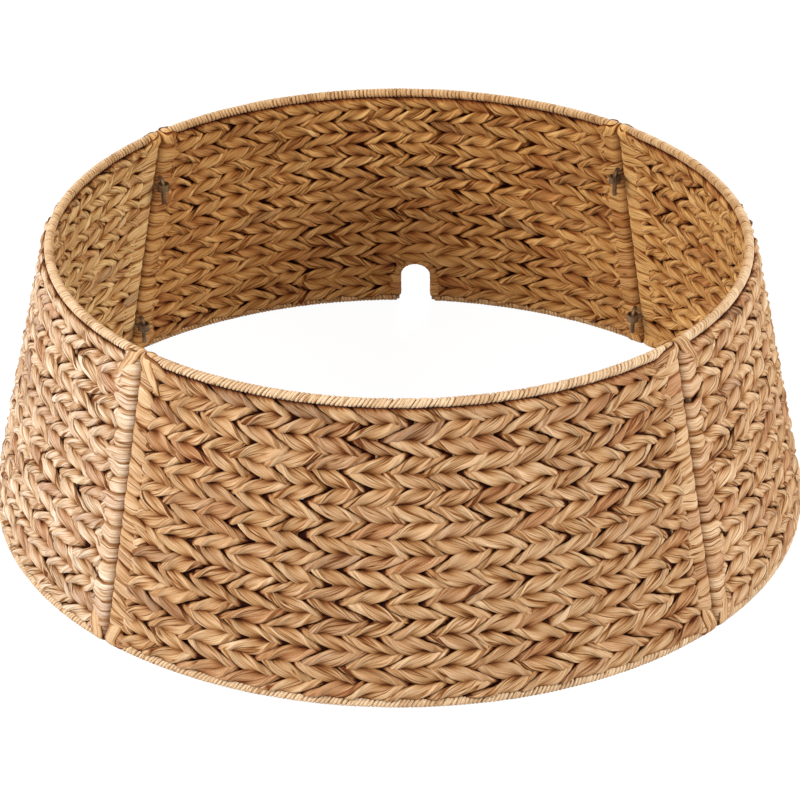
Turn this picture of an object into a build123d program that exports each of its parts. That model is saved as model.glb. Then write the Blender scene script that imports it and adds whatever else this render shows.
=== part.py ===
from build123d import *
import os
from math import asin, atan2, cos, degrees, radians, sin, sqrt

# Woven collar that hides the foot of a Christmas tree.
#
# Four curved wicker panels stand in a ring and make a cone that leans inwards.
# Each panel is a welded wire frame with upright stakes. Rows of twisted strands
# are woven round the stakes, and thin cord is wound round the top and bottom
# rails. The front and back panels carry bent steel pins, which drop into steel
# rings on the left and right panels. The back panel has an arched notch for a
# cable, one stake beside its middle. Each wall turns in short flats, and the
# wires are drawn with few sides. The origin is the centre of the base on the
# floor, with +Z up and the front panel towards -Y.

# The whole collar
base_outer_width = 760.0
top_outer_width = 645.0
collar_height = 267.0
panel_count = 4
joint_gap = 3.0
flat_count = 11

# The wire frame of one panel
rail_width = 5.0
stake_width = 2.6
stake_count = 15
wire_sides = 6

# The cord wound round the rails
binding_width = 8.4
binding_sides = 8

# The woven wall
wall_thickness = 12.0
row_groove_depth = 2.2
row_pair_count = 9
edge_wrap_width = 12.6
edge_wrap_sides = 8

# The cable notch in the back panel
notch_width = 30.0
notch_height = 48.0
notch_side_shift = 33.0
notch_cover = 2.0
notch_wire_width = 4.0
notch_arch_flat_count = 8

# The pins and rings that join the panels
pin_diameter = 4.0
pin_sides = 8
pin_bend_radius = 7.0
pin_bend_flat_count = 3
pin_tail_length = 14.0
pin_seat_clearance = 0.5
ring_outer_diameter = 12.0
ring_sides = 12
ring_wall = 1.2
ring_height = 7.0
ring_offset = 17.0
stem_width = 3.0
ring_height_shares = (0.15, 0.78)

# One overrun serves every cut
overrun = 10.0

# Angles and radii that follow from the sizes above
panel_angle = 360 / panel_count
joint_angle = panel_angle / 2
flat_angle = panel_angle / flat_count
half_flat = radians(flat_angle / 2)
rail_low_z = binding_width / 2
rail_high_z = collar_height - binding_width / 2
wall_low_z = rail_low_z + rail_width / 2
wall_high_z = rail_high_z - rail_width / 2
rail_low_radius = base_outer_width / 2 - binding_width / 2
rail_high_radius = top_outer_width / 2 - binding_width / 2
lean_run = rail_low_radius - rail_high_radius
lean_rise = rail_high_z - rail_low_z
lean_angle = degrees(atan2(lean_run, lean_rise))
rod_inset = joint_gap / 2 + edge_wrap_width / 2
wrap_inner_inset = joint_gap / 2 + edge_wrap_width
notch_angle = -degrees(asin(notch_side_shift / rail_low_radius))
notch_turn = Rot(0, 0, notch_angle)


def wall_radius(z):
    """Distance from the axis to the middle of the wall, square to a flat."""
    return rail_low_radius - lean_run * (z - rail_low_z) / lean_rise


def direction(angle):
    """Level unit vector at an angle from the panel's middle."""
    return Vector(cos(radians(angle)), sin(radians(angle)), 0)


def wall_point(angle, z):
    """Middle of the wall at an angle from the panel's middle and a height."""
    off_flat = (angle + joint_angle) % flat_angle - flat_angle / 2
    radius = wall_radius(z) / cos(radians(off_flat))
    return radius * direction(angle) + Vector(0, 0, z)


def round_the_flats(section):
    """Carry a section along the flats of one panel, with mitred corners.

    The section's x runs outwards from the middle of the bottom rail, and its
    y is the height above the floor.
    """
    corner_radius = rail_low_radius / cos(half_flat)
    corners = [
        corner_radius * direction(joint_angle - flat_angle * k)
        for k in range(-1, flat_count + 2)
    ]
    first_flat = corners[1] - corners[0]
    outwards = direction(joint_angle + flat_angle / 2)
    plane = Plane(origin=corners[0], x_dir=outwards, z_dir=first_flat)
    return sweep(plane * section, path=Polyline(*corners), transition=Transition.RIGHT)


def sector(inset):
    """Space of one panel, kept an inset away from both joint planes."""
    tip = Vector(inset / sin(radians(joint_angle)), 0, 0)
    far = base_outer_width
    outline = Polygon(
        tip,
        tip + far * direction(-joint_angle),
        tip + far * direction(joint_angle),
        align=None,
    )
    low = Pos(0, 0, -overrun)
    return low * extrude(outline, amount=collar_height + 2 * overrun)


def at_rail(radius, z, shape):
    """Place a flat shape on a rail's middle, in the section's own plane."""
    return Pos(radius - rail_low_radius, z) * shape


def rod_point(z):
    """Middle of the side rod at a height, on the panel's positive edge."""
    along = (wall_radius(z) - rod_inset * sin(half_flat)) / cos(half_flat)
    return (
        along * direction(joint_angle)
        + rod_inset * direction(joint_angle - 90)
        + Vector(0, 0, z)
    )


def leaning_prism(outline, foot, head, turn):
    """Prism with level ends that runs from foot to head."""
    base = Pos(foot) * Rot(0, 0, turn) * outline
    run = head - foot
    return extrude(base, amount=run.length, dir=run)


def both_edges(shape):
    """A shape on the positive edge, and its mirror image on the other."""
    return [shape, mirror(shape, about=Plane.XZ)]


def fuse_all(shapes):
    """One solid, or a group of solids, from a list of shapes."""
    return shapes[0].fuse(*shapes[1:]).clean()


def round_outline(width, sides):
    """Outline of a round bar drawn with few sides, with a flat towards x."""
    return RegularPolygon(width / 2, sides, major_radius=False, rotation=180 / sides)


def wire_outline(width):
    """Outline of a wire, with a flat towards x."""
    return round_outline(width, wire_sides)


def rail_outline():
    """Outline of a rail, with level flats above and below."""
    return Rot(0, 0, 90) * wire_outline(rail_width)


def rails():
    """Top and bottom rails, with level flats, cut at the side rods."""
    outline = rail_outline()
    low = at_rail(rail_low_radius, rail_low_z, outline)
    high = at_rail(rail_high_radius, rail_high_z, outline)
    return [round_the_flats(end) & sector(rod_inset) for end in (low, high)]


def side_rod():
    """Upright rod along one edge of the frame."""
    foot = rod_point(rail_low_z - rail_width / 2)
    head = rod_point(rail_high_z + rail_width / 2)
    return leaning_prism(wire_outline(rail_width), foot, head, joint_angle)


def stake(angle, foot_z):
    """Upright stake that rises from a height to the top rail."""
    foot = wall_point(angle, foot_z)
    head = wall_point(angle, wall_high_z)
    return leaning_prism(wire_outline(stake_width), foot, head, angle)


def stake_angles():
    """Angles of the stakes from the panel's middle."""
    spacing = panel_angle / (stake_count + 1)
    return [joint_angle - spacing * (k + 1) for k in range(stake_count)]


def notch_stake_index():
    """Which stake is nearest to the notch, and starts on its arch."""
    offsets = [abs(angle - notch_angle) for angle in stake_angles()]
    return offsets.index(min(offsets))


def binding(radius, z, wall_side):
    """Cord wound round a rail, cut level with the rail where the wall meets it."""
    outer = round_outline(binding_width, binding_sides)
    above = Pos(0, wall_side * (rail_width + binding_width) / 2)
    section = outer - rail_outline() - above * Rectangle(2 * binding_width, binding_width)
    return round_the_flats(at_rail(radius, z, section)) & sector(wrap_inner_inset)


def wall_section():
    """Section of the woven wall, with a ridge on each side for a pair of rows."""
    pitch = (wall_high_z - wall_low_z) / row_pair_count / 2
    ridge = wall_thickness / 2
    groove = ridge - row_groove_depth
    steps = range(2 * row_pair_count + 1)
    side = [(wall_low_z + pitch * k, ridge if k % 2 else groove) for k in steps]
    outer = [(wall_radius(z) - rail_low_radius + off, z) for z, off in side]
    inner = [(wall_radius(z) - rail_low_radius - off, z) for z, off in side]
    return Polygon(*outer, *reversed(inner), align=None)


def edge_wrap():
    """Strands turned round the side rod, from the floor to the top."""
    outline = round_outline(edge_wrap_width, edge_wrap_sides)
    return leaning_prism(outline, rod_point(0), rod_point(collar_height), joint_angle)


def woven_wall():
    """Woven wall of one panel before the wires are let in."""
    wall = round_the_flats(wall_section()) & sector(rod_inset)
    return fuse_all([wall, *both_edges(edge_wrap())])


def ring_centre(z):
    """Point on the joint plane where the ring and the pin share an axis."""
    return wall_point(joint_angle, z) - ring_offset * direction(joint_angle)


def towards_rod(z):
    """Plane at the ring's middle, with x running level to the side rod."""
    run = rod_point(z) - ring_centre(z)
    return Plane(origin=ring_centre(z), x_dir=run, z_dir=(0, 0, 1)), run.length


def bend_points(centre_x, centre_y, radius, start, end, flats):
    """Corners of a bend made of short flats, from a start to an end angle."""
    steps = [start + (end - start) * k / flats for k in range(flats + 1)]
    return [
        (centre_x + radius * cos(radians(a)), centre_y + radius * sin(radians(a)))
        for a in steps
    ]


def ring(z):
    """Short steel ring and the stem that welds it to the side rod."""
    plane, reach = towards_rod(z)
    widths = (ring_outer_diameter, ring_outer_diameter - 2 * ring_wall)
    sleeve, bore = [
        extrude(round_outline(width, ring_sides), ring_height / 2, both=True)
        for width in widths
    ]
    stem = Pos(reach / 2, 0, 0) * Box(reach, stem_width, stem_width)
    return plane.location * (sleeve + stem - bore)


def pin(z):
    """Bent steel pin that hangs in the ring of the next panel."""
    plane, reach = towards_rod(z)
    bore_radius = ring_outer_diameter / 2 - ring_wall
    inner_bend = pin_bend_radius - pin_diameter / 2
    bend_rise = sqrt(inner_bend**2 - (pin_bend_radius - bore_radius) ** 2)
    bend_z = ring_height / 2 + pin_seat_clearance - bend_rise
    tip_z = -ring_height / 2 - pin_tail_length
    bend = bend_points(pin_bend_radius, bend_z, pin_bend_radius, 180, 90, pin_bend_flat_count)
    run = [(0, tip_z), *bend, (reach, bend_z + pin_bend_radius)]
    path = Polyline(*[(x, 0, height) for x, height in run])
    outline = Pos(0, 0, tip_z) * round_outline(pin_diameter, pin_sides)
    return plane.location * sweep(outline, path=path, transition=Transition.RIGHT)


def connectors(make):
    """The same connector at both heights of both edges."""
    heights = [share * collar_height for share in ring_height_shares]
    return [copy for z in heights for copy in both_edges(make(z))]


def notch_cut():
    """Round-topped notch, cut level through the wall from the floor."""
    arch_z = notch_height - notch_width / 2
    door = Pos(0, arch_z / 2 - overrun / 2) * Rectangle(notch_width, arch_z + overrun)
    outline = door + Pos(0, arch_z) * Circle(notch_width / 2)
    return notch_turn * extrude(Plane.YZ * outline, amount=base_outer_width)


def notch_wire():
    """Wire bent round the notch, from one end of the cut rail to the other."""
    half_span = notch_width / 2 + notch_cover + notch_wire_width / 2
    foot_point = wall_point(notch_angle, wall_low_z)
    slope = Rot(0, 90 - lean_angle, 0) * Rot(0, 0, 90)
    plane = Plane(Pos(foot_point) * notch_turn * slope)
    leg = (notch_height - notch_width / 2 - wall_low_z) / cos(radians(lean_angle))
    arch = bend_points(0, leg, half_span, 180, 0, notch_arch_flat_count)
    run = [(-half_span, -notch_wire_width), *arch, (half_span, -notch_wire_width)]
    foot = Plane(origin=(*run[0], 0), x_dir=(1, 0, 0), z_dir=(0, 1, 0))
    wire = plane.location * sweep(
        foot * wire_outline(notch_wire_width),
        path=Polyline(*run),
        transition=Transition.RIGHT,
    )
    below = Pos(base_outer_width / 2, 0, wall_low_z - overrun / 2)
    return wire - notch_turn * below * Box(base_outer_width, base_outer_width, overrun)


def crown_z():
    """Height of the crown of the notch wire's middle line."""
    half_span = notch_width / 2 + notch_cover + notch_wire_width / 2
    return notch_height - notch_width / 2 + half_span * cos(radians(lean_angle))


def plain_panel():
    """Pieces that all four panels share, with the panel's middle facing +X."""
    return {
        "frame": fuse_all([*rails(), *both_edges(side_rod())]),
        "weave": woven_wall(),
        "top_binding": binding(rail_high_radius, rail_high_z, -1),
        "bottom_binding": binding(rail_low_radius, rail_low_z, 1),
    }


def notched(pieces):
    """The shared pieces with the notch cut and its bent wire added."""
    rail_gap = notch_width + 2 * notch_cover
    at_rail_height = Pos(base_outer_width / 2, 0, rail_low_z)
    cut = notch_turn * at_rail_height * Box(base_outer_width, rail_gap, 2 * rail_width)
    return {
        "frame": pieces["frame"] - cut,
        "weave": pieces["weave"] - notch_cut(),
        "top_binding": pieces["top_binding"],
        "bottom_binding": pieces["bottom_binding"] - notch_cut(),
        "notch_wire": notch_wire(),
    }


def finished(pieces, joiner_name, make_joiner):
    """Add the stakes and joiners, and let every wire into the woven wall."""
    pieces = dict(pieces)
    stakes = [stake(angle, wall_low_z) for angle in stake_angles()]
    wires = [pieces["frame"]]
    if "notch_wire" in pieces:
        wire = pieces["notch_wire"]
        stakes[notch_stake_index()] = stake(notch_angle, crown_z()) - wire
        wires.append(wire)
    joiners = [piece - pieces["frame"] for piece in connectors(make_joiner)]
    pieces["weave"] = pieces["weave"].cut(*wires, *stakes, *joiners)
    pieces["stakes"] = Compound(children=stakes)
    pieces[joiner_name] = Compound(children=joiners)
    return pieces


def write(pieces, side, turn):
    """Turn a panel's pieces to their side of the collar and save them."""
    for name, piece in pieces.items():
        turned = [Rot(0, 0, turn) * solid for solid in piece.solids()]
        export_step(Compound(children=turned), f"parts/{side}_{name}.step")


os.makedirs("parts", exist_ok=True)
plain = plain_panel()
ring_panel = finished(plain, "hook_rings", ring)
write(ring_panel, "right", 0)
write(ring_panel, "left", 180)
write(finished(notched(plain), "hook_pins", pin), "back", 90)
write(finished(plain, "hook_pins", pin), "front", 270)
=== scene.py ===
# %% [markdown]
# # A woven collar for the foot of a Christmas tree
#
# The real collar is four curved wicker panels that hang together in a ring. Dried
# strands are twisted in pairs round upright stakes, and thin cord is wound round the
# rims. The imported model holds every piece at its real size. This notebook dresses it:
# the wire stays as it is, and the woven walls and wound rims are made strand by strand.

from math import asin, atan2, cos, hypot, pi, radians, sin, sqrt, tau
from random import Random

import bpy
from mathutils import Matrix, Vector


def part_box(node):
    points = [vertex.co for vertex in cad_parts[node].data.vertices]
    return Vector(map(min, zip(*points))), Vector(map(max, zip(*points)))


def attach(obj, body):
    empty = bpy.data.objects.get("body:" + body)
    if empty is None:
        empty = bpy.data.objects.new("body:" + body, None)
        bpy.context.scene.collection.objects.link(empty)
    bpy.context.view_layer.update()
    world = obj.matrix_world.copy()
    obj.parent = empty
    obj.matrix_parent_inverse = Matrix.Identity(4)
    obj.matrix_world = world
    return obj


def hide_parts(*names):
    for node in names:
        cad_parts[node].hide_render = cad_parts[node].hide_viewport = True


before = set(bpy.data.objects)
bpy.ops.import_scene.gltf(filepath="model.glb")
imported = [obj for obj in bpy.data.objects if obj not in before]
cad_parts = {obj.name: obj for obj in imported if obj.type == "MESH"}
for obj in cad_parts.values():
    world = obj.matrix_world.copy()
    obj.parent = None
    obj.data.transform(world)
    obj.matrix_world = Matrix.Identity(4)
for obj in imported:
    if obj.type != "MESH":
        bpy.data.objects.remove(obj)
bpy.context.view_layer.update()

# %% [markdown]
# ## Sizes
#
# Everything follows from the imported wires: the rims give the radii, the height and the
# lean of the cone. The wall is then drawn flat, as cloth on a table would be, with
# three coordinates: an angle from the panel's middle, a height up the slant of the
# wall, and a depth outwards from the wall's middle. One rule bends that onto the cone.

# %% Sizes of the cone
PANEL_AZIMUTHS = {"right": 0.0, "back": 90.0, "left": 180.0, "front": 270.0}
RIM_WIDTH = 0.0084
RAIL_WIDTH = 0.005
HALF_PANEL = radians(45)
RAIL_LOW_Z = RIM_WIDTH / 2
RAIL_HIGH_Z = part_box("front_top_binding")[1].z - RIM_WIDTH / 2
RAIL_LOW_RADIUS = -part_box("front_bottom_binding")[0].y - RIM_WIDTH / 2
RAIL_HIGH_RADIUS = -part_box("front_top_binding")[0].y - RIM_WIDTH / 2
LEAN = atan2(RAIL_LOW_RADIUS - RAIL_HIGH_RADIUS, RAIL_HIGH_Z - RAIL_LOW_Z)
SLANT = (RAIL_HIGH_Z - RAIL_LOW_Z) / cos(LEAN)
ROD_INSET = 0.0078
LEAVES_PER_ROW = 16
STAKE_SPACING = radians(90 / LEAVES_PER_ROW)
notch_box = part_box("back_notch_wire")
NOTCH_MIDDLE = (notch_box[0] + notch_box[1]) / 2
NOTCH_ANGLE = -atan2(NOTCH_MIDDLE.x, NOTCH_MIDDLE.y)
print(
    f"cone: base radius {RAIL_LOW_RADIUS:.4f}, top radius {RAIL_HIGH_RADIUS:.4f},",
    f"slant {SLANT:.4f}",
)


def radius_at(height):
    """Radius of the wall's middle at a height up its slant."""
    return RAIL_LOW_RADIUS - sin(LEAN) * height


def rod_angle(height):
    """Angle of the side rod from the panel's middle at a height up the slant."""
    return HALF_PANEL - asin(ROD_INSET / radius_at(height))


# %% [markdown]
# ## The camera
#
# The picture was taken from a little above, with a long lens. Distance, elevation and
# lens were fitted to the two rims and the four joints of the real collar.

# %% Camera
CAMERA_DISTANCE = 2.954
CAMERA_ELEVATION = radians(29.21)
CAMERA_AZIMUTH = radians(-2.4)
CAMERA_AIM = Vector((0.0008, 0.0, 0.0881))
CAMERA_LENS = 141.43
CAMERA_SENSOR = 36
CAMERA_REACH = 20


def add_object(name, data):
    """Object in the scene that shows a mesh, a light or a camera."""
    item = bpy.data.objects.new(name, data)
    bpy.context.collection.objects.link(item)
    return item


def make_camera():
    """Camera on the front side, aimed at the middle of the collar."""
    data = bpy.data.cameras.new("camera")
    data.lens = CAMERA_LENS
    data.sensor_width = CAMERA_SENSOR
    data.clip_end = CAMERA_REACH
    camera = add_object("camera", data)
    level = cos(CAMERA_ELEVATION) * CAMERA_DISTANCE
    rise = sin(CAMERA_ELEVATION) * CAMERA_DISTANCE
    offset = Vector((level * sin(CAMERA_AZIMUTH), -level * cos(CAMERA_AZIMUTH), rise))
    camera.location = CAMERA_AIM + offset
    camera.rotation_euler = (-offset).to_track_quat("-Z", "Y").to_euler()
    bpy.context.scene.camera = camera
    return camera


camera = make_camera()
print("camera at", tuple(round(v, 3) for v in camera.location))

# %% [markdown]
# ## Formulas in a node tree
#
# Geometry Nodes and shaders work out a number at every point from small arithmetic
# nodes. Written one by one they are hard to read, so this helper wraps a socket. When
# two wrapped sockets are added or multiplied, it adds the node and gives its result.

# %% A socket that can be used in a formula
# Noise stays near its middle, and this stretch brings it to about -1 to 1
NOISE_STRETCH = 3.2


def plug(tree, item, socket):
    """Link a wrapped socket, or set a plain number."""
    if isinstance(item, Value):
        tree.links.new(item.socket, socket)
    else:
        socket.default_value = item


class Value:
    """A number that a node tree works out at every point."""

    def __init__(self, tree, socket):
        self.tree = tree
        self.socket = socket

    def combine(self, operation, *items):
        node = self.tree.nodes.new("ShaderNodeMath")
        node.operation = operation
        for item, socket in zip(items, node.inputs):
            plug(self.tree, item, socket)
        return Value(self.tree, node.outputs[0])

    def __add__(self, other):
        return self.combine("ADD", self, other)

    def __radd__(self, other):
        return self.combine("ADD", other, self)

    def __sub__(self, other):
        return self.combine("SUBTRACT", self, other)

    def __rsub__(self, other):
        return self.combine("SUBTRACT", other, self)

    def __mul__(self, other):
        return self.combine("MULTIPLY", self, other)

    def __rmul__(self, other):
        return self.combine("MULTIPLY", other, self)

    def __truediv__(self, other):
        return self.combine("DIVIDE", self, other)

    def __pow__(self, power):
        return self.combine("POWER", self, power)

    def __neg__(self):
        return self.combine("MULTIPLY", self, -1.0)

    def sin(self):
        return self.combine("SINE", self)

    def cos(self):
        return self.combine("COSINE", self)

    def size(self):
        return self.combine("ABSOLUTE", self)

    def floor(self):
        return self.combine("FLOOR", self)

    def at_least(self, low):
        return self.combine("MAXIMUM", self, low)

    def at_most(self, high):
        return self.combine("MINIMUM", self, high)

    def exp(self):
        return self.combine("EXPONENT", self)

    def is_over(self, limit):
        return self.combine("GREATER_THAN", self, limit)

    def rise(self, low, high):
        """0 below the low value, 1 above the high one, and a smooth step between."""
        node = self.tree.nodes.new("ShaderNodeMapRange")
        node.interpolation_type = "SMOOTHSTEP"
        plug(self.tree, self, node.inputs["Value"])
        plug(self.tree, low, node.inputs["From Min"])
        plug(self.tree, high, node.inputs["From Max"])
        return Value(self.tree, node.outputs["Result"])


def vector_of(tree, x, y, z):
    """A vector socket from three numbers."""
    node = tree.nodes.new("ShaderNodeCombineXYZ")
    for item, socket in zip((x, y, z), node.inputs):
        plug(tree, item, socket)
    return Value(tree, node.outputs[0])


def wander(tree, x, y, z=0.0, detail=0.0):
    """Three smooth random numbers, each from about -1 to 1, at a point of noise."""
    noise = tree.nodes.new("ShaderNodeTexNoise")
    noise.inputs["Scale"].default_value = 1.0
    noise.inputs["Detail"].default_value = detail
    plug(tree, vector_of(tree, x, y, z), noise.inputs["Vector"])
    parts = tree.nodes.new("ShaderNodeSeparateXYZ")
    tree.links.new(noise.outputs["Color"], parts.inputs[0])
    middle = NOISE_STRETCH / 2
    return [Value(tree, socket) * NOISE_STRETCH - middle for socket in parts.outputs]


def add_sockets(tree, in_out, kind, labels):
    """Named sockets of a node group, with default values where labels holds them."""
    for label in labels:
        socket = tree.interface.new_socket(
            label, in_out=in_out, socket_type="NodeSocket" + kind
        )
        if isinstance(labels, dict):
            socket.default_value = labels[label]


def tell(tree):
    """Print what a node group holds."""
    print(f"{tree.name}: {len(tree.nodes)} nodes")


# %% [markdown]
# ## A tube that any rule can bend
#
# Every strand, band and winding here is a long tube. A tree starts with a flat grid,
# puts a copy on each point of a plan, reads what the plan says about that strand, and
# moves each point of the grid to its place. The rule that bends the flat wall onto the
# cone is a node group of its own, which all three trees share.

# %% The rule that bends the flat wall onto the cone
def cone_group():
    """Node group: angle, slant height and depth in, a place on the cone out."""
    tree = bpy.data.node_groups.new("place on the cone", "GeometryNodeTree")
    labels = ("Angle", "Height", "Depth", "Low Radius", "Low Z", "Lean")
    add_sockets(tree, "INPUT", "Float", labels)
    add_sockets(tree, "OUTPUT", "Vector", ["Place"])
    start = tree.nodes.new("NodeGroupInput")
    angle, height, depth, low_radius, low_z, lean = [
        Value(tree, start.outputs[label]) for label in labels
    ]
    radius = low_radius - lean.sin() * height + lean.cos() * depth
    rise = low_z + lean.cos() * height + lean.sin() * depth
    place = vector_of(tree, radius * angle.cos(), radius * angle.sin(), rise)
    end = tree.nodes.new("NodeGroupOutput")
    plug(tree, place, end.inputs["Place"])
    return tree


PLACE_ON_CONE = cone_group()
tell(PLACE_ON_CONE)

# %% The parts that all three trees share
MERGE_DISTANCE = 0.000002
INSIDE_BLEND = 0.003


class StrandTree:
    """A tree that turns each point of a plan into one tube on the cone."""

    def __init__(self, name, inputs):
        self.tree = bpy.data.node_groups.new(name, "GeometryNodeTree")
        cone = {"Low Radius": RAIL_LOW_RADIUS, "Low Z": RAIL_LOW_Z, "Lean": LEAN}
        add_sockets(self.tree, "INPUT", "Geometry", ["Geometry"])
        add_sockets(self.tree, "INPUT", "Float", inputs | cone)
        add_sockets(self.tree, "INPUT", "Int", ["Steps Along", "Steps Around"])
        add_sockets(self.tree, "INPUT", "Material", ["Finish"])
        add_sockets(self.tree, "OUTPUT", "Geometry", ["Geometry"])
        self.start = self.tree.nodes.new("NodeGroupInput")
        self.flow = self.grids_on_the_plan()

    def node(self, kind, **links):
        """Add a geometry node and link or set its inputs by name."""
        node = self.tree.nodes.new(kind)
        for label, item in links.items():
            socket = node.inputs[label.replace("_", " ")]
            if isinstance(item, bpy.types.NodeSocket):
                self.tree.links.new(item, socket)
            else:
                plug(self.tree, item, socket)
        return node

    def size(self, label):
        """One of the tree's named inputs."""
        return Value(self.tree, self.start.outputs[label])

    def read(self, name):
        """A number that the plan or the grid holds for this point."""
        node = self.node("GeometryNodeInputNamedAttribute", Name=name)
        return Value(self.tree, node.outputs["Attribute"])

    def store(self, name, value):
        """Keep a number on each point, for the finish to read."""
        node = self.node(
            "GeometryNodeStoreNamedAttribute",
            Geometry=self.flow,
            Name=name,
            Value=value,
        )
        self.flow = node.outputs["Geometry"]

    def grids_on_the_plan(self):
        """A grid on each point of the plan, with its shares along and around."""
        grid = self.node(
            "GeometryNodeMeshGrid",
            Vertices_X=self.size("Steps Along"),
            Vertices_Y=self.size("Steps Around"),
        )
        self.flow = grid.outputs["Mesh"]
        place = self.tree.nodes.new("GeometryNodeInputPosition")
        split = self.node("ShaderNodeSeparateXYZ", Vector=place.outputs[0])
        self.store("share along", Value(self.tree, split.outputs[0]) + 0.5)
        self.store("turn around", (Value(self.tree, split.outputs[1]) + 0.5) * tau)
        copies = self.node(
            "GeometryNodeInstanceOnPoints",
            Points=self.start.outputs["Geometry"],
            Instance=self.flow,
        )
        return self.node(
            "GeometryNodeRealizeInstances", Geometry=copies.outputs["Instances"]
        ).outputs["Geometry"]

    def finish(self, angle, height, depth):
        """Move the points onto the cone, close the tubes and give them their finish."""
        # Which faces look towards the collar's middle, where the materials paint shade
        self.store("inside", 1.0 - depth.rise(-INSIDE_BLEND, INSIDE_BLEND))
        group = self.tree.nodes.new("GeometryNodeGroup")
        group.node_tree = PLACE_ON_CONE
        values = {"Angle": angle, "Height": height, "Depth": depth}
        for label in ("Low Radius", "Low Z", "Lean"):
            values[label] = self.size(label)
        for label, value in values.items():
            plug(self.tree, value, group.inputs[label])
        place = group.outputs["Place"]
        moved = self.node("GeometryNodeSetPosition", Geometry=self.flow, Position=place)
        closed = self.node(
            "GeometryNodeMergeByDistance",
            Geometry=moved.outputs["Geometry"],
            Distance=MERGE_DISTANCE,
        )
        smooth = self.node(
            "GeometryNodeSetShadeSmooth", Geometry=closed.outputs["Geometry"]
        )
        painted = self.node(
            "GeometryNodeSetMaterial",
            Geometry=smooth.outputs["Geometry"],
            Material=self.start.outputs["Finish"],
        )
        end = self.tree.nodes.new("NodeGroupOutput")
        self.tree.links.new(painted.outputs["Geometry"], end.inputs["Geometry"])
        return self.tree


# %% A plan becomes a plain mesh
def plan_mesh(name, rows):
    """Mesh of loose points, one for each strand, that hold what the rows say."""
    mesh = bpy.data.meshes.new(name)
    mesh.from_pydata([(0, 0, 0)] * len(rows), [], [])
    for key in rows[0]:
        attribute = mesh.attributes.new(key, "FLOAT", "POINT")
        attribute.data.foreach_set("value", [float(row[key]) for row in rows])
    return mesh


def grow(name, rows, tree, finish, azimuth, **sizes):
    """Run a tree on a plan and give back a plain mesh, turned to its panel's place."""
    plan = add_object(name + " plan", plan_mesh(name + " plan", rows))
    modifier = plan.modifiers.new("grow", "NODES")
    modifier.node_group = tree
    sizes = {label.replace("_", " "): value for label, value in sizes.items()}
    sizes["Finish"] = finish
    for item in tree.interface.items_tree:
        if item.in_out == "INPUT" and item.name in sizes:
            modifier[item.identifier] = sizes[item.name]
    evaluated = plan.evaluated_get(bpy.context.evaluated_depsgraph_get())
    mesh = bpy.data.meshes.new_from_object(evaluated)
    mesh.name = name
    bpy.data.objects.remove(plan)
    piece = add_object(name, mesh)
    turn_mesh(mesh, azimuth)
    face_outwards(mesh)
    print(f"{name}: {len(rows)} strands, {triangles(mesh)} triangles")
    return piece


def turn_mesh(mesh, azimuth):
    """Turn a mesh about the collar's axis."""
    mesh.transform(Matrix.Rotation(radians(azimuth), 4, "Z"))


def triangles(mesh):
    """How many triangles a mesh has."""
    return sum(len(polygon.vertices) - 2 for polygon in mesh.polygons)


def face_outwards(mesh):
    """Turn the faces over if the closed tubes are inside out."""
    volume = 0.0
    for polygon in mesh.polygons:
        corners = [mesh.vertices[i].co for i in polygon.vertices]
        for second, third in zip(corners[1:], corners[2:]):
            volume += corners[0].dot(second.cross(third))
    if volume < 0:
        mesh.flip_normals()


# %% [markdown]
# ## Colours and the feel of dried strands
#
# The strands are flattened dried stalks: straw and tan, some pinkish or reddish brown,
# with long fine fibres and folds. Shade is painted into their colour: where they tuck
# under each other, in folds and crevices, along their edges, under the top rim and on
# the inside of the collar. The panels differ a little in tone, and the left one is
# also painted lighter and the back one darker, as the light falls. Each strand carries
# its own numbers (which leaf it is, how far along, how far across), so the fibres can
# follow it round every twist. Strands, corner bands and cord share one node group for
# the fibres, with their own values.

# %% Colours, written as they look
def colour(red, green, blue):
    """A colour written from 0 to 255, as the shader needs it: off the sRGB curve."""
    parts = [part / 255 for part in (red, green, blue)]
    light = [p / 12.92 if p <= 0.04045 else ((p + 0.055) / 1.055) ** 2.4 for p in parts]
    return light + [1]


LEAF_COLOURS = {
    0.00: (212, 192, 166),
    0.20: (202, 177, 147),
    0.40: (218, 198, 174),
    0.55: (191, 165, 138),
    0.70: (208, 183, 154),
    0.82: (193, 168, 145),
    0.90: (184, 152, 124),
    0.97: (187, 150, 120),
    1.00: (169, 148, 133),
}
# Each panel's own tone, and painted light: the left panel lighter and paler, the back
# one darker
PANEL_TONE_AND_LIGHT = {
    "front": (1.0, 0.99, 0.97),
    "right": (1.03, 1.035, 1.04),
    "back": (0.97, 0.95, 0.93),
    "left": (1.08, 1.15, 1.27),
}
# Painted shade on the inner faces of the walls and the cord: darker, warmer and browner
INSIDE_PAINTED_SHADE = (1.04, 0.98, 0.8)
CORD_INSIDE_PAINTED_SHADE = (0.92, 0.86, 0.76)
CORNER_COLOURS = {0.0: (222, 196, 164), 0.5: (212, 184, 150), 1.0: (202, 174, 142)}
CORD_COLOURS = {0.0: (212, 190, 162), 0.5: (220, 200, 174), 1.0: (198, 172, 142)}
# Shade takes more from green and most from blue, so dark places turn brown
SHADE_POWERS = (0.9, 1.4, 2.05)


def tinted(stops, tint):
    """The same colours, a little lighter, darker or warmer."""
    return {
        share: [min(part * scale, 255) for part, scale in zip(stop, tint)]
        for share, stop in stops.items()
    }


print("leaf colours:", len(LEAF_COLOURS), "panel tints:", ", ".join(PANEL_TONE_AND_LIGHT))

# %% Fibres, a node group that all the plant materials share
def mix_colours(tree, share, first, second, blend="MIX"):
    """A colour between two others, or both multiplied."""
    node = tree.nodes.new("ShaderNodeMix")
    node.data_type = "RGBA"
    node.blend_type = blend
    plug(tree, share, node.inputs["Factor"])
    tree.links.new(first, node.inputs[6])
    tree.links.new(second, node.inputs[7])
    return node.outputs[2]


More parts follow.
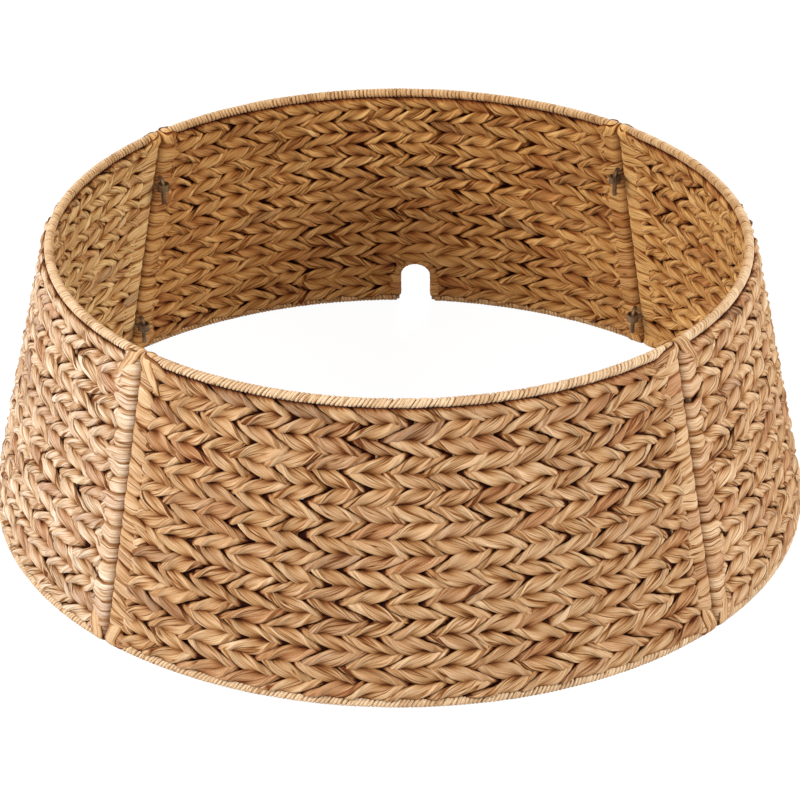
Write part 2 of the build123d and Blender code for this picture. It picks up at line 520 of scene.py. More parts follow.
def fibre_group():
    """Shader group: streaks and folds as colour and height, and painted shade in the
    colour.
    """
    tree = bpy.data.node_groups.new("dried fibres", "ShaderNodeTree")
    numbers = ("Along", "Across", "Leaf", "Tip")
    numbers += ("Fibres Across", "Fibre Length", "Streak Depth", "Tip Shade")
    add_sockets(tree, "INPUT", "Color", ["Base"])
    add_sockets(tree, "INPUT", "Float", numbers)
    add_sockets(tree, "OUTPUT", "Color", ["Colour"])
    add_sockets(tree, "OUTPUT", "Float", ["Height", "Roughness"])
    start = tree.nodes.new("NodeGroupInput")
    read = {label: Value(tree, start.outputs[label]) for label in numbers}
    run = read["Along"] / read["Fibre Length"]
    sideways = read["Across"] * read["Fibres Across"]
    own = read["Leaf"] * 3.7
    fine, broad, _ = wander(tree, run, sideways, own, detail=4.0)
    fold, patch, rare = wander(tree, run * 0.25, sideways * 0.2, own + 40.0, detail=1.0)
    streak = 0.5 + fine * 0.44 + broad * 0.16
    line = (1.0 - (broad * 6.0).size()).at_least(0.0) * patch.rise(-0.3, 0.4)
    crease = (1.0 - (fold * 8.0).size()).at_least(0.0) * rare.rise(-0.6, 0.2)
    # Painted shadow: a thin dark line along each strand's edges, where one lies over the
    # next
    edge = read["Across"].size().rise(0.92, 1.02)
    shade = 1.02 - read["Streak Depth"] * (1.0 - streak) + patch * 0.1
    # Painted shade in the folds and along the edges; the fine lines are marks in the
    # fibre
    shade = shade - crease * 0.5 - line * 0.18 - edge * 0.22
    # Painted shade where a tree marks a strand as hidden, in a crevice, under a rim or
    # between turns
    shade = shade.at_least(0.12) * (1.0 - read["Tip Shade"] * read["Tip"])
    warm = vector_of(tree, *[shade ** power for power in SHADE_POWERS])
    shaded = mix_colours(tree, 1.0, start.outputs["Base"], warm.socket, "MULTIPLY")
    end = tree.nodes.new("NodeGroupOutput")
    tree.links.new(shaded, end.inputs["Colour"])
    plug(tree, streak * 0.6 - crease * 0.9, end.inputs["Height"])
    plug(tree, 0.62 + streak * 0.16, end.inputs["Roughness"])
    return tree


FIBRES = fibre_group()
tell(FIBRES)

# %% Materials of the strands, the corner bands and the cord
# How far apart the leaf numbers of two strands are
LEAF_NUMBERS_APART = 64.0
PLANT_SPECULAR = 0.1


def attribute_value(tree, name):
    """A number that the mesh holds at each point."""
    node = tree.nodes.new("ShaderNodeAttribute")
    node.attribute_name = name
    return Value(tree, node.outputs["Fac"])


def ramp_of(tree, value, stops):
    """A colour for a number, from a table of written colours."""
    node = tree.nodes.new("ShaderNodeValToRGB")
    plug(tree, value, node.inputs["Fac"])
    shares = sorted(stops)
    while len(node.color_ramp.elements) < len(shares):
        node.color_ramp.elements.new(0.5)
    for element, share in zip(node.color_ramp.elements, shares):
        element.position = share
        element.color = colour(*stops[share])
    return node.outputs["Color"]


def bump_of(tree, height, distance):
    """Shallow relief from a height, as a normal for the shader."""
    node = tree.nodes.new("ShaderNodeBump")
    node.inputs["Strength"].default_value = 1.0
    node.inputs["Distance"].default_value = distance
    plug(tree, height, node.inputs["Height"])
    return node.outputs["Normal"]


def plant_material(name, stops, bump, inside=INSIDE_PAINTED_SHADE, **values):
    """Material of dried plant fibre whose streaks follow the strand, with painted shade.
    """
    material = bpy.data.materials.new(name)
    material.use_nodes = True
    tree = material.node_tree
    shader = tree.nodes["Principled BSDF"]
    shader.inputs["Specular IOR Level"].default_value = PLANT_SPECULAR
    half_turns = attribute_value(tree, "half turns") * 0.5
    front, back = (half_turns + 0.5).floor(), half_turns.floor() + 0.5
    outside = attribute_value(tree, "outwards").is_over(0.0)
    strand = attribute_value(tree, "strand number") * LEAF_NUMBERS_APART
    leaf = strand + back + (front - back) * outside
    chance = tree.nodes.new("ShaderNodeTexWhiteNoise")
    chance.noise_dimensions = "1D"
    plug(tree, leaf, chance.inputs["W"])
    fibres = tree.nodes.new("ShaderNodeGroup")
    fibres.node_tree = FIBRES
    # The outer faces take the colours as written, and the inner faces get painted shade
    outside_colours = ramp_of(tree, Value(tree, chance.outputs["Value"]), stops)
    painted_inside_shade = ramp_of(tree, Value(tree, chance.outputs["Value"]), tinted(stops, inside))
    base = mix_colours(tree, attribute_value(tree, "inside"), outside_colours, painted_inside_shade)
    tree.links.new(base, fibres.inputs["Base"])
    for label in ("Along", "Across", "Tip"):
        plug(tree, attribute_value(tree, label.lower()), fibres.inputs[label])
    plug(tree, leaf, fibres.inputs["Leaf"])
    for label, value in values.items():
        fibres.inputs[label.replace("_", " ")].default_value = value
    tree.links.new(fibres.outputs["Colour"], shader.inputs["Base Color"])
    tree.links.new(fibres.outputs["Roughness"], shader.inputs["Roughness"])
    relief = bump_of(tree, Value(tree, fibres.outputs["Height"]), bump)
    tree.links.new(relief, shader.inputs["Normal"])
    return material


# One material to a panel, tinted with that panel's own tone and its painted light
STRAND_FINISHES = {
    side: plant_material(
        f"dried strands {side}", tinted(LEAF_COLOURS, tint), bump=0.0006,
        Fibres_Across=8.0, Fibre_Length=0.018, Streak_Depth=0.64, Tip_Shade=1.0,
    )
    for side, tint in PANEL_TONE_AND_LIGHT.items()
}
CORD_FINISH = plant_material(
    "wound cord", CORD_COLOURS, bump=0.0002, inside=CORD_INSIDE_PAINTED_SHADE,
    Fibres_Across=3.0, Fibre_Length=0.006, Streak_Depth=0.3, Tip_Shade=0.35,
)
CORNER_FINISH = plant_material(
    "pale corner strands", CORNER_COLOURS, bump=0.0006,
    Fibres_Across=11.0, Fibre_Length=0.018, Streak_Depth=0.5, Tip_Shade=0.8,
)
print("plant materials:", len(STRAND_FINISHES) + 2)

# %% [markdown]
# ## The woven rows
#
# Each row is two strands twisted round each other, half a turn from stake to stake, so
# one strand is in front of a stake and the other behind it. Seen from outside, each
# half turn is a leaf, and the next row is twisted the other way, which makes the arrow
# pattern. The tree turns that rule into tubes: a strand is flat and broad over a stake,
# and narrow where the two pass each other.

# %% The tree for twisted pairs
# How near a strand's middle comes to the middle of a rail
RAIL_KEEP_CLEAR = 0.0034
# How far a strand strays from the rule: shares of a half turn, and of its own sizes
LEAF_DRIFT, ROW_DRIFT = 0.15, 0.12
WIDTH_DRIFT, RISE_DRIFT, THICKNESS_DRIFT = 0.2, 0.28, 0.12
ROW_WAVE = 0.0016
# How much shade is painted behind another strand, in a crevice and under the rim, and at
# most
HIDDEN_SHADE, CREVICE_SHADE, RIM_SHADE, DARKEST = 0.74, 0.95, 0.8, 0.97


def twisted_pair_tree():
    """Tree: plan points with two end angles become the twisted strands of a row."""
    make = StrandTree(
        "twisted pairs",
        {
            "Stake Spacing": STAKE_SPACING,
            "Leaf Width": 0.0162,
            "Neck Width": 0.0104,
            "Leaf Thickness": 0.0046,
            "Neck Thickness": 0.0094,
            "Twist Depth": 0.0019,
            "Twist Rise": 0.0042,
            "Wall Height": SLANT,
            "Unevenness": 1.0,
            "Seed": 0.0,
        },
    )
    tree = make.tree
    number, strand = make.read("number"), make.read("strand")
    slant, row = make.read("slant"), make.read("row")
    uneven, seed = make.size("Unevenness"), make.size("Seed")
    start, stop = make.read("start"), make.read("stop")
    angle = start + (stop - start) * make.read("share along")
    leaf = (angle + HALF_PANEL) / make.size("Stake Spacing") + strand
    drift, swell, thin = wander(tree, leaf * 0.8, number * 5.17 + seed, 3.0)
    lift, fold, bend = wander(tree, leaf * 0.85, number * 5.17 + seed, 9.0)
    wave, _, _ = wander(tree, angle * 7.0, row * 0.25, seed + 30.0)
    late, _, _ = wander(tree, angle * 2.5, row * 1.9, seed + 60.0)
    turn = (leaf + (drift * LEAF_DRIFT + late * ROW_DRIFT) * uneven) * pi
    flat_turn = turn - (turn * 2.0).sin() * 0.32
    facing, edging = flat_turn.cos(), flat_turn.sin()
    broad = facing.size() ** 0.5
    width = make.size("Leaf Width") * (1.0 + swell * WIDTH_DRIFT * uneven)
    neck_width = make.size("Neck Width")
    half_width = 0.5 * (neck_width + (width - neck_width) * broad)
    rise_share = 1.0 + lift * RISE_DRIFT * uneven
    thick = make.size("Leaf Thickness") * (1.0 + thin * THICKNESS_DRIFT * uneven)
    neck_thick = make.size("Neck Thickness") * rise_share
    half_thick = 0.5 * (thick + (neck_thick - thick) * edging * edging)

    radius = make.size("Low Radius") - make.size("Lean").sin() * make.read("height")
    from_end = ((angle - start).at_most(stop - angle)) * radius
    body = from_end.rise(0.0, 0.006)
    depth_share = 0.55 + 0.45 * from_end.rise(0.004, 0.022)
    half_width = half_width * body ** 0.5
    half_thick = half_thick * body ** 0.5

    around = make.read("turn around")
    across, out = around.cos(), around.sin()
    out = out * (out.size() + 0.03) ** -0.5
    fold_place = (across - fold * 0.75) / 0.14
    crease = (-(fold_place * fold_place)).exp() * 0.7 * (bend + 0.1).at_least(0.0)
    side = across * half_width
    thickness = out * half_thick * (1.0 - crease * out.size().rise(0.0, 0.4))

    depth = make.size("Twist Depth") * turn.cos() * depth_share
    depth = depth + thickness * facing - slant * side * edging
    rise = make.size("Twist Rise") * rise_share * turn.sin() * slant
    height = make.read("height") + rise + wave * ROW_WAVE * uneven
    height = height + thickness * slant * edging + side * facing
    highest = make.size("Wall Height") - RAIL_KEEP_CLEAR
    height = height.at_least(RAIL_KEEP_CLEAR).at_most(highest)

    broad_face, narrow_face = out * half_width, slant * across * half_thick
    outwards = broad_face * facing - narrow_face * edging
    outwards = outwards / (broad_face.size() + narrow_face.size() + 0.00001)
    hidden = (-outwards * turn.cos()).rise(0.25, 0.75)
    make.store("strand number", number)
    make.store("half turns", leaf)
    make.store("outwards", outwards)
    make.store("along", angle * radius)
    make.store("across", across + bend * 0.1)
    # Painted shade: darker where a strand passes behind its partner, in the crevices and
    # just under the top rim
    crevice = 1.0 - depth.size().rise(0.0014, 0.005)
    under_rim = 1.0 - (make.size("Wall Height") - height).rise(0.004, 0.0062)
    dark = hidden * HIDDEN_SHADE + crevice * CREVICE_SHADE + under_rim * RIM_SHADE
    make.store("tip", dark.at_most(DARKEST))
    return make.finish(angle, height, depth)


TWISTED_PAIRS = twisted_pair_tree()
tell(TWISTED_PAIRS)

# %% The plan of the rows
ROW_COUNT = 18
WALL_LOW = RAIL_WIDTH / 2
ROW_PITCH = (SLANT - RAIL_WIDTH) / ROW_COUNT
EDGE_STOP = 0.007
NOTCH_HALF_WIDTH = 0.019
NOTCH_ARCH_HEIGHT = 0.0295
NOTCH_KEEP_CLEAR = 0.0025
# How far apart the row numbers of two panels are
ROW_NUMBERS_APART = 50


def notch_half_angle(height):
    """Half the angle that a row leaves open at the notch, or zero above it."""
    reach = NOTCH_HALF_WIDTH + NOTCH_KEEP_CLEAR
    above = max(height - NOTCH_ARCH_HEIGHT, 0.0)
    if above >= reach:
        return 0.0
    return sqrt(reach**2 - above**2) / radius_at(height)


def spans_beside_notch(edge, gap):
    """Angles from edge to edge, as one span, or as two beside a gap at the notch."""
    if not gap:
        return [(-edge, edge)]
    return [(-edge, NOTCH_ANGLE - gap), (NOTCH_ANGLE + gap, edge)]


def row_plan(side, first, last):
    """Plan of the strands in the rows from the first to the last."""
    plan = []
    panel_number = list(PANEL_AZIMUTHS).index(side)
    for row in range(first, last):
        height = WALL_LOW + ROW_PITCH * (row + 0.5)
        edge = rod_angle(height) - EDGE_STOP / radius_at(height)
        gap = notch_half_angle(height) if side == "back" else 0.0
        for start, stop in spans_beside_notch(edge, gap):
            for strand in (0, 1):
                number = (panel_number * ROW_COUNT + row) * 2 + strand
                plan.append(
                    {
                        "row": row + panel_number * ROW_NUMBERS_APART,
                        "strand": strand,
                        "slant": -1 if row % 2 else 1,
                        "start": start,
                        "stop": stop,
                        "height": height,
                        "number": number,
                    }
                )
    return plan


print(f"rows: {ROW_COUNT} to a panel, {ROW_PITCH:.4f} apart")

# %% Weave the rows of the four panels
STEPS_PER_LEAF = 13
STRAND_SIDES = 17


def weave_rows(side, azimuth):
    """The lower and the upper half of a panel's rows."""
    halves = {"lower": (0, ROW_COUNT // 2), "upper": (ROW_COUNT // 2, ROW_COUNT)}
    for half, (first, last) in halves.items():
        piece = grow(
            f"{side}_{half}_rows",
            row_plan(side, first, last),
            TWISTED_PAIRS,
            STRAND_FINISHES[side],
            azimuth,
            Steps_Along=STEPS_PER_LEAF * LEAVES_PER_ROW,
            Steps_Around=STRAND_SIDES,
            Seed=azimuth / 10,
        )
        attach(piece, f"{side}_panel")
    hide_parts(f"{side}_weave")


for side, azimuth in PANEL_AZIMUTHS.items():
    weave_rows(side, azimuth)

# %% [markdown]
# ## The turned edges
#
# At each side of a panel the strands go round the side rod and back, as broad flat
# bands. The same bands turn round the bent wire of the notch, and one folds over each
# corner of the rim. A band is a tube that runs in along the outside, half round the
# rod, and out along the inside.

# %% The tree for bands
# The bands' strand numbers start above those of the rows
BAND_NUMBERS = 200.0


def band_tree():
    """Tree: plan points with a place on a rod become bands that turn round it."""
    labels = ("Band Radius", "Band Thickness", "Sinking", "Seed")
    make = StrandTree("turned bands", dict.fromkeys(labels, 0.0))
    tree = make.tree
    number, seed = make.read("number"), make.size("Seed")
    radius, thick = make.size("Band Radius"), make.size("Band Thickness")
    out_reach, in_reach = make.read("out reach"), make.read("in reach")
    run = make.read("share along") * (out_reach + in_reach + radius * pi)
    out_run = (out_reach - run).at_least(0.0)
    in_run = (run - out_reach - radius * pi).at_least(0.0)
    bend = ((run - out_reach) / radius).at_least(0.0).at_most(pi)
    far = (out_run / out_reach).at_least(in_run / in_reach)
    swell, drift, fold = wander(tree, run * 60.0, number * 4.3 + seed, 5.0)
    lift, _, _ = wander(tree, number * 7.7, seed, 12.0)

    shape = 1.0 - 0.7 * far.rise(0.35, 1.0)
    closing = (1.0 - far.rise(0.93, 1.0)).at_least(0.0) ** 0.5
    half_tall = make.read("tall") * 0.5 * shape * (1.0 + swell * 0.08) * closing
    half_thick = thick * 0.5 * closing * (1.0 - far * 0.2)
    around = make.read("turn around")
    across, out = around.cos(), around.sin()
    fold_place = (across - fold * 0.6) / 0.13
    crease = (-(fold_place * fold_place)).exp() * 0.15 * out.rise(0.0, 0.4)
    side, thickness = across * half_tall, out * half_thick * (1.0 - crease)

    pull_in = 1.0 - far * far * make.size("Sinking")
    depth = (radius * pull_in + thickness + lift * 0.0004) * bend.cos()
    away = out_run + in_run - (radius + thickness) * bend.sin()
    up = side + make.read("out slope") * out_run + make.read("in slope") * in_run
    up = up + drift * 0.0005
    x = make.read("rod x") + make.read("away x") * away + make.read("up x") * up
    height = make.read("rod height") + make.read("away y") * away
    height = height + make.read("up y") * up
    wall = make.size("Low Radius") - make.size("Lean").sin() * height
    make.store("strand number", number + BAND_NUMBERS)
    make.store("half turns", 0.0)
    make.store("outwards", 1.0)
    make.store("along", run + number * 0.1)
    make.store("across", across)
    # Painted shade towards a band's edges, and where its ends sink into the wall
    painted_groove_shade = across.size().rise(0.62, 0.98)
    make.store("tip", (far.rise(0.7, 1.0) * 0.5 + painted_groove_shade * 0.8).at_most(0.95))
    return make.finish(make.read("middle angle") + x / wall, height, depth)


TURNED_BANDS = band_tree()
tell(TURNED_BANDS)

# %% Plans of the bands
# The first numbers of each kind, so that no two kinds share their noise
EDGE_NUMBERS_APART, CORNER_NUMBERS_APART = 100, 10
LEG_NUMBERS, ARCH_NUMBERS, CORNER_NUMBERS = 700, 730, 800
# How much taller a band is than its share of the rod, so that bands overlap
EDGE_OVERLAP, LEG_OVERLAP = 1.16, 1.3
EDGE_TALL = (0.013, 0.0185)
EDGE_OUT_REACH, EDGE_IN_REACH = (0.014, 0.028), (0.016, 0.03)
EDGE_OUT_SLOPE, EDGE_IN_SLOPE = (-0.1, 0.45), (-0.3, 0.3)
EDGE_RIM_OVERLAP = 0.003
EDGE_LAST_ROOM = 0.004
RING_CLEARANCE = 0.002
LEG_LOW = 0.004
LEG_TALL, LEG_REACH, LEG_SLOPE = (0.008, 0.011), (0.011, 0.014), (-0.2, 0.2)
ARCH_BANDS = 11
ARCH_REACH, ARCH_TALL = (0.006, 0.008), (0.0085, 0.0095)
CORNER_OUT_REACH, CORNER_IN_REACH = (0.024, 0.028), (0.014, 0.018)
CORNER_SLOPE = (0.45, 0.6)
CORNER_TALL = 0.0138
EDGE_SLOPES = {
    (side, edge): 1 if side in ("front", "back") else edge
    for side in PANEL_AZIMUTHS
    for edge in (-1, 1)
}


def band(number, rod, away, tall, reach, slope, middle=0.0):
    """What the plan says of one band: where it turns and how far it runs."""
    return {
        "number": number,
        "middle angle": middle,
        "rod x": rod[0],
        "rod height": rod[1],
        "away x": away[0],
        "away y": away[1],
        "up x": -away[1] if away[0] >= 0 else away[1],
        "up y": away[0] if away[0] >= 0 else -away[0],
        "tall": tall,
        "out reach": reach[0],
        "in reach": reach[1],
        "out slope": slope[0],
        "in slope": slope[1],
    }


RING_HEIGHT = (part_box("right_hook_rings")[1].z - RAIL_LOW_Z) / cos(LEAN)


def edge_bands(side, draw):
    """Bands round both side rods of a panel, apart at a ring that shows."""
    plan = []
    lean_sideways = sin(LEAN) * HALF_PANEL
    for edge in (-1, 1):
        height = 0.0
        while height < SLANT - EDGE_LAST_ROOM:
            tall = draw.uniform(*EDGE_TALL)
            if (side, edge) == ("right", -1) and height < RING_HEIGHT < height + tall:
                height = RING_HEIGHT + RING_CLEARANCE
            half = tall * EDGE_OVERLAP / 2
            low, high = half - EDGE_RIM_OVERLAP, SLANT - half + EDGE_RIM_OVERLAP
            middle = min(max(height + tall / 2, low), high)
            x = edge * radius_at(middle) * rod_angle(middle)
            length = hypot(1, lean_sideways)
            away = (-edge / length, -lean_sideways / length)
            fall = edge * draw.uniform(*EDGE_OUT_SLOPE) * EDGE_SLOPES[side, edge]
            reach = (draw.uniform(*EDGE_OUT_REACH), draw.uniform(*EDGE_IN_REACH))
            slope = [
                min(max(part, (low - middle) / run), (high - middle) / run)
                for part, run in zip((fall, draw.uniform(*EDGE_IN_SLOPE)), reach)
            ]
            number = len(plan) + EDGE_NUMBERS_APART * list(PANEL_AZIMUTHS).index(side)
            size = tall * EDGE_OVERLAP
            plan.append(band(number, (x, middle), away, size, reach, slope))
            height += tall
    return plan


def notch_bands(draw):
    """Bands round the bent wire of the notch."""
    plan = []
    for edge in (-1, 1):
        height = LEG_LOW
        while height < NOTCH_ARCH_HEIGHT:
            tall = draw.uniform(*LEG_TALL)
            rod = (edge * NOTCH_HALF_WIDTH, height + tall / 2)
            reach = (draw.uniform(*LEG_REACH), draw.uniform(*LEG_REACH))
            slope = draw.uniform(*LEG_SLOPE)
            number, size = LEG_NUMBERS + len(plan), tall * LEG_OVERLAP
            slopes = (slope, -slope)
            plan.append(band(number, rod, (edge, 0), size, reach, slopes, NOTCH_ANGLE))
            height += tall
    for k in range(ARCH_BANDS):
        turn = pi * (k + 0.5) / ARCH_BANDS
        rod = (
            NOTCH_HALF_WIDTH * cos(turn),
            NOTCH_ARCH_HEIGHT + NOTCH_HALF_WIDTH * sin(turn),
        )
        reach = (draw.uniform(*ARCH_REACH), draw.uniform(*ARCH_REACH))
        tall = draw.uniform(*ARCH_TALL)
        away, level = (cos(turn), sin(turn)), (0.0, 0.0)
        number = ARCH_NUMBERS + k
        plan.append(band(number, rod, away, tall, reach, level, NOTCH_ANGLE))
    return plan


def corner_bands(side, draw):
    """Pale bands folded over the rails at the corners of a panel."""
    plan = []
    for edge in (-1, 1):
        for height, away in ((SLANT - RAIL_KEEP_CLEAR, -1), (RAIL_KEEP_CLEAR, 1)):
            x = edge * radius_at(height) * rod_angle(height)
            reach = (draw.uniform(*CORNER_OUT_REACH), draw.uniform(*CORNER_IN_REACH))
            slope = edge * draw.uniform(*CORNER_SLOPE) * away
            first = CORNER_NUMBERS + len(plan)
            number = first + CORNER_NUMBERS_APART * list(PANEL_AZIMUTHS).index(side)
            rod, slopes = (x, height), (slope, slope)
            plan.append(band(number, rod, (0, away), CORNER_TALL, reach, slopes))
    return plan


print(f"upper rings at {RING_HEIGHT:.4f} up the slant")

# %% Turn the bands round the rods
# Radius of the turn, thickness, and how far a band sinks into the wall at its ends
BAND_SIZES = {
    "edge_bands": (0.005, 0.004, 0.8),
    "corner_bands": (0.0062, 0.0026, 0.6),
    "notch_bands": (0.0031, 0.002, 1.0),
}
BAND_STEPS = 56
BAND_SIDES = 21


def wrap_edges(side, azimuth):
    """All bands of one panel."""
    draw = Random(side)
    plans = {"edge_bands": edge_bands(side, draw)}
    plans["corner_bands"] = corner_bands(side, draw)
    if side == "back":
        plans["notch_bands"] = notch_bands(draw)
    for label, plan in plans.items():
        band_radius, thickness, sinking = BAND_SIZES[label]
        piece = grow(
            f"{side}_{label}",
            plan,
            TURNED_BANDS,
            CORNER_FINISH if label == "corner_bands" else STRAND_FINISHES[side],
            azimuth,
            Steps_Along=BAND_STEPS,
            Steps_Around=BAND_SIDES,
            Band_Radius=band_radius,
            Band_Thickness=thickness,
            Sinking=sinking,
            Seed=azimuth / 7,
        )
        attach(piece, f"{side}_panel")


for side, azimuth in PANEL_AZIMUTHS.items():
    wrap_edges(side, azimuth)

# %% [markdown]
# ## The wound rims
#
# Thin flat cord is wound tightly round the rails, a turn every three or four
# millimetres, a little slanted and never quite even. It is one long helix, so the tree
# works out a helix round the rail and makes it a flat tube.

# %% The tree for a winding
def winding_tree():
    """Tree: plan points with a rail's height and end angles become a wound cord."""
    make = StrandTree(
        "wound cord",
        {
            "Coil Radius": 0.0029,
            "Cord Width": 0.0043,
            "Cord Thickness": 0.0031,
            "Slant": 0.45,
            "Seed": 0.0,
        },
    )
    tree = make.tree
    share, seed = make.read("share along"), make.size("Seed")
    start, stop = make.read("start"), make.read("stop")
    turn_count = share * make.read("turns")
    own = make.read("number") * 7.0
    skew, swell, lift = wander(tree, turn_count * 0.45, seed, own)
    coarse, bulge, _ = wander(tree, turn_count * 0.09, seed + 5.0, own)
    turn = turn_count * tau
    half_width = make.size("Cord Width") * 0.5 * (1.0 + swell * 0.16)
    half_thick = make.size("Cord Thickness") * 0.5
    around = make.read("turn around")
    across, out = around.cos(), around.sin()
    uneven = 1.0 + lift * 0.04 + bulge * 0.05
    coil = make.size("Coil Radius") * uneven + out * half_thick
    tilt = make.size("Slant") * (1.0 + skew * 0.3 + coarse * 0.3)
    lean_back = (turn - 0.35).sin()
    shift = tilt * coil * lean_back + skew * 0.001 + across * half_width
    radius = make.size("Low Radius") - make.size("Lean").sin() * make.read("height")
    angle = start + (stop - start) * share + shift / radius
    height = make.read("height") + coil * turn.sin()
    make.store("strand number", make.read("number"))
    make.store("half turns", turn_count * 0.4)
    make.store("outwards", 1.0)
    make.store("along", turn * make.size("Coil Radius"))
    make.store("across", across)
    # Painted shade towards the edges of each turn, in the gaps between turns
    make.store("tip", across.size().rise(0.45, 1.0))
    return make.finish(angle, height, coil * turn.cos())


WOUND_CORD = winding_tree()
tell(WOUND_CORD)

# %% Wind the rims
RIM_STOP = 0.0125
RIM_NOTCH_GAP = 0.001
TURN_PITCH = 0.0037
STEPS_PER_TURN = 18
CORD_SIDES = 9


def wind_rims(side, azimuth):
    """Wound cord round the top and bottom rails of a panel, left open at the notch."""
    for place, height in (("top", SLANT), ("bottom", 0.0)):
        edge = rod_angle(height) - (RIM_STOP - ROD_INSET) / radius_at(height)
        gap = 0.0
        if side == "back" and place == "bottom":
            gap = (NOTCH_HALF_WIDTH + RIM_NOTCH_GAP) / radius_at(height)
        plan = []
        for start, stop in spans_beside_notch(edge, gap):
            turns = round((stop - start) * radius_at(height) / TURN_PITCH)
            values = {"start": start, "stop": stop, "turns": turns, "height": height}
            plan.append(values | {"number": len(plan) + azimuth})
        most_turns = max(values["turns"] for values in plan)
        piece = grow(
            f"{side}_{place}_winding",
            plan,
            WOUND_CORD,
            CORD_FINISH,
            azimuth,
            Steps_Along=most_turns * STEPS_PER_TURN,
            Steps_Around=CORD_SIDES,
            Seed=azimuth / 9 + height * 100,
        )
        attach(piece, f"{side}_panel")
        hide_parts(f"{side}_{place}_binding")


for side, azimuth in PANEL_AZIMUTHS.items():
    wind_rims(side, azimuth)

# %% [markdown]
# ## Wire, pins and rings
#
# The welded frame and the hooks are steel wire, dull and a little stained. The stakes
# are wrapped in thin cord, which shows in the small gaps between the leaves. These
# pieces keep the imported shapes, and their finish reads Object coordinates.

# %% Wire finishes
STAIN_SCALE = 90.0
GRAIN_SCALE = 900.0


def object_noise(tree, scale):
    """Noise in the object's own space, as a number."""
    place = tree.nodes.new("ShaderNodeTexCoord")
    noise = tree.nodes.new("ShaderNodeTexNoise")
    noise.inputs["Scale"].default_value = scale
    noise.inputs["Detail"].default_value = 2.0
    tree.links.new(place.outputs["Object"], noise.inputs["Vector"])
    return Value(tree, noise.outputs[0])


def wire_material(name, dark, light, metallic, grain):
    """Material of wire, bare or wrapped, with stains and a fine grain."""
    material = bpy.data.materials.new(name)
    material.use_nodes = True
    tree = material.node_tree
    shader = tree.nodes["Principled BSDF"]
    shader.inputs["Metallic"].default_value = metallic
    stain = object_noise(tree, STAIN_SCALE)
    base = ramp_of(tree, stain.rise(0.3, 0.7), {0.0: dark, 1.0: light})
    tree.links.new(base, shader.inputs["Base Color"])
    plug(tree, 0.35 + stain * 0.3, shader.inputs["Roughness"])
    relief = bump_of(tree, object_noise(tree, GRAIN_SCALE), grain)
    tree.links.new(relief, shader.inputs["Normal"])
    return material


WIRE_FINISH = wire_material(
    "frame wire", dark=(92, 70, 50), light=(128, 100, 74), metallic=0.4, grain=0.0001
)
HOOK_FINISH = wire_material(
    "hook steel", dark=(74, 54, 36), light=(128, 100, 70), metallic=0.7, grain=0.00005
)
STAKE_FINISH = wire_material(
    "wrapped stakes",
    dark=(120, 84, 50),
    light=(176, 136, 90),
    metallic=0.0,
    grain=0.0004,
)


def dress(node, finish):
    """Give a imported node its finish."""
    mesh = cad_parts[node].data
    mesh.materials.clear()
    mesh.materials.append(finish)
    print(f"{node}: {finish.name}")


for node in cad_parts:
    if node.endswith("_frame") or node.endswith("notch_wire"):
        dress(node, WIRE_FINISH)
    elif "_hook_" in node:
        dress(node, HOOK_FINISH)
    elif node.endswith("_stakes"):
        dress(node, STAKE_FINISH)

# %% [markdown]
# ## Floor and light
#
# The floor and the background are plain white. Large soft lights stand to the left and
# right, with fainter ones in front and behind, and the left one is the brightest. The
# floor is white to the camera and keeps a faint shadow.

# %% Floor
FLOOR_SIZE = 6.0
FLOOR_SHADOW_SHARE = 0.12
FLOOR_GREY = 0.85
FLOOR_ROUGHNESS = 0.9
FLOOR_GLOW = 1.06


def seen_directly(tree):
    """1 for rays that the camera, a reflection or a clear surface sends, else 0."""
    ray = tree.nodes.new("ShaderNodeLightPath")
    kinds = ("Camera", "Glossy", "Transmission")
    camera, glossy, through = [
        Value(tree, ray.outputs[f"Is {kind} Ray"]) for kind in kinds
    ]
    return camera.at_least(glossy).at_least(through)


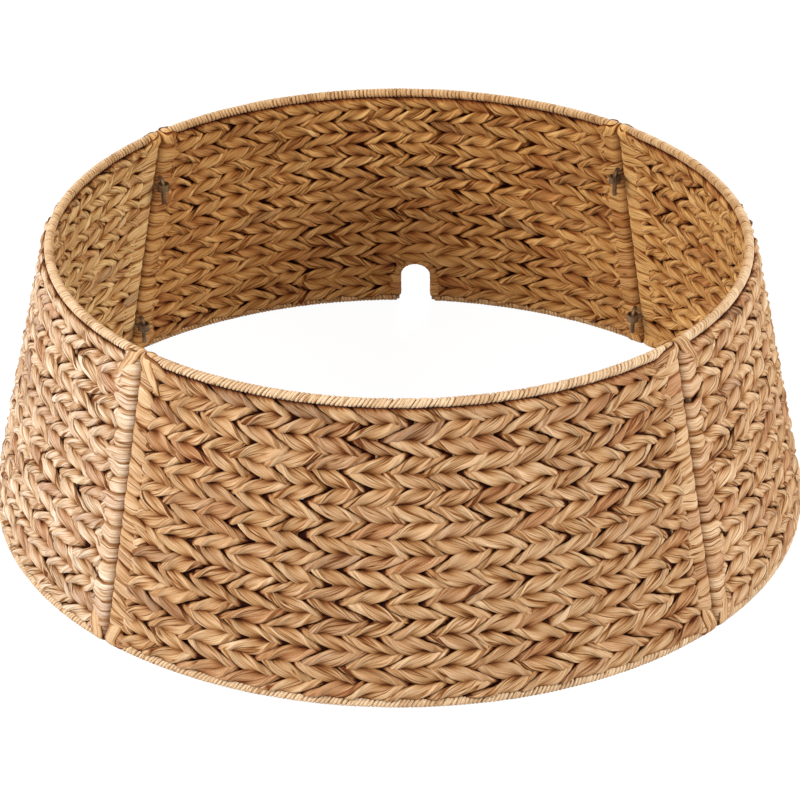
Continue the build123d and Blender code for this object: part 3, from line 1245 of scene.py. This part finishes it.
def floor_material():
    """White floor that keeps a faint shadow."""
    material = bpy.data.materials.new("white floor")
    material.use_nodes = True
    tree = material.node_tree
    diffuse = tree.nodes["Principled BSDF"]
    diffuse.inputs["Base Color"].default_value = (FLOOR_GREY, FLOOR_GREY, FLOOR_GREY, 1)
    diffuse.inputs["Roughness"].default_value = FLOOR_ROUGHNESS
    glow = tree.nodes.new("ShaderNodeEmission")
    glow.inputs["Strength"].default_value = FLOOR_GLOW
    share = seen_directly(tree) * (1.0 - FLOOR_SHADOW_SHARE)
    mix = tree.nodes.new("ShaderNodeMixShader")
    plug(tree, share, mix.inputs[0])
    tree.links.new(diffuse.outputs[0], mix.inputs[1])
    tree.links.new(glow.outputs[0], mix.inputs[2])
    tree.links.new(mix.outputs[0], tree.nodes["Material Output"].inputs["Surface"])
    return material


def make_floor():
    """A large level floor at the collar's foot."""
    half = FLOOR_SIZE / 2
    mesh = bpy.data.meshes.new("floor")
    corners = [(-half, -half, 0), (half, -half, 0), (half, half, 0), (-half, half, 0)]
    mesh.from_pydata(corners, [], [(0, 1, 2, 3)])
    mesh.materials.append(floor_material())
    floor = add_object("floor", mesh)
    print("floor:", FLOOR_SIZE, "across")


make_floor()

# %% Lights and world
WORLD_LIGHT = 0.33
LIGHT_SIZE = 1.2
LIGHT_AIM = Vector((0, 0, 0.1))
LIGHTS = {
    "left light": ((-2.8, -1.0, 1.7), 119),
    "right light": ((2.8, -1.0, 1.7), 96),
    "front light": ((-0.3, -1.9, 2.7), 46),
    "back light": ((0.5, 2.8, 1.8), 42),
}


def make_world():
    """White surroundings: plain light for the object, pure white for the camera."""
    world = bpy.data.worlds.new("white room")
    bpy.context.scene.world = world
    world.use_nodes = True
    tree = world.node_tree
    back = tree.nodes["Background"]
    back.inputs["Color"].default_value = (1, 1, 1, 1)
    strength = WORLD_LIGHT + seen_directly(tree) * (1.0 - WORLD_LIGHT)
    plug(tree, strength, back.inputs["Strength"])


def area_light(name, place, power):
    """Soft square light, aimed at the collar."""
    data = bpy.data.lights.new(name, "AREA")
    data.energy = power
    data.size = LIGHT_SIZE
    light = add_object(name, data)
    light.location = place
    aim = LIGHT_AIM - Vector(place)
    light.rotation_euler = aim.to_track_quat("-Z", "Y").to_euler()


make_world()
for name, (place, power) in LIGHTS.items():
    area_light(name, place, power)
print("lights:", ", ".join(LIGHTS))
bpy.context.scene.view_settings.view_transform = "Standard"
